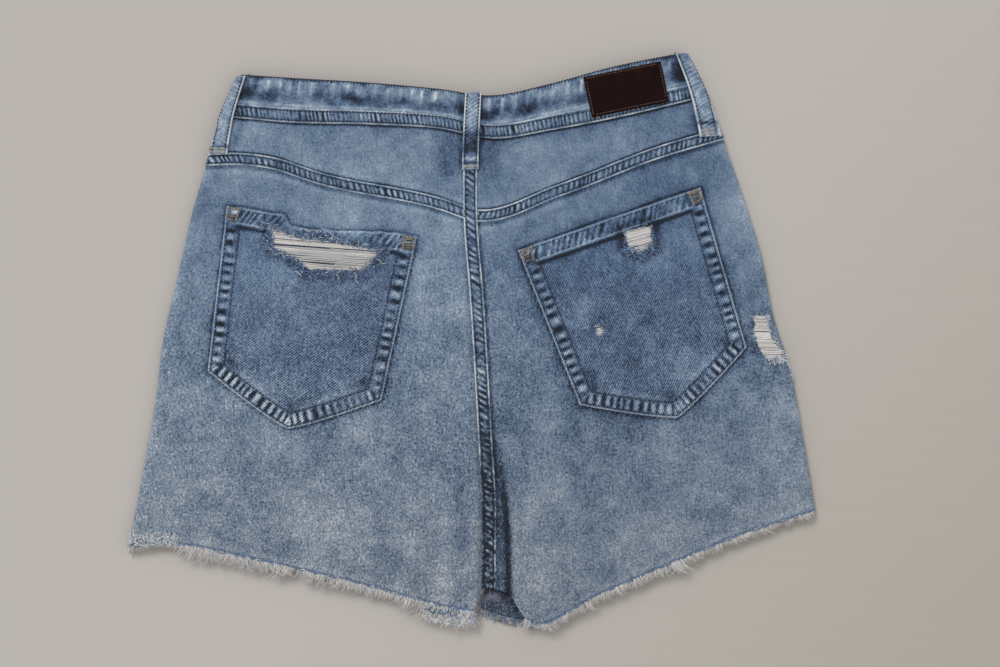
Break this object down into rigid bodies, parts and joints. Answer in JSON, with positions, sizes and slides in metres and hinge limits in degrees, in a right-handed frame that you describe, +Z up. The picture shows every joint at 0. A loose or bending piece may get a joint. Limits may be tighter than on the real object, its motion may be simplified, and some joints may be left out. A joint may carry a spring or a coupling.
{
  "type": "denim cut-off shorts laid flat",
  "caption": "High-waisted denim cut-off shorts laid flat with the back uppermost: yoke, patch pockets, belt loops, leather patch and frayed hems; waist and legs stay open.",
  "frame": {"origin": "on the surface the shorts lie on, under the middle of their box", "axes": "+X across the garment to the viewer's right with its back uppermost, +Y towards the waist, +Z up from the surface"},
  "size_m": [0.5554, 0.459, 0.0155],
  "materials": {
    "denim": "stone-washed mid-blue cotton twill, mottled, worn pale along edges and seams",
    "pocket_denim": "the same twill washed a little less, darker and bluer",
    "leather": "dark brown leather, matt, bare",
    "button_metal": "aged brass shank button, plain",
    "fringe": "loose cream weft and pale blue warp threads",
    "thread": "navy sewing thread, tan at the bartacks"
  },
  "bodies": {
    "root": {"waistband": "denim", "yoke_left": "denim", "yoke_right": "denim", "back_left": "denim", "back_right": "denim", "front_left": "denim", "front_right": "denim", "pocket_facing_left": "denim", "pocket_facing_right": "denim", "fly": "denim", "pocket_left": "pocket_denim", "pocket_right": "pocket_denim", "loop_back": "denim", "loop_left": "denim", "loop_right": "denim", "loop_front_left": "denim", "loop_front_right": "denim", "patch": "leather", "button": "button_metal", "fringe_left": "fringe", "fringe_right": "fringe", "fringe_front": "fringe"}
  },
  "joints": []
}
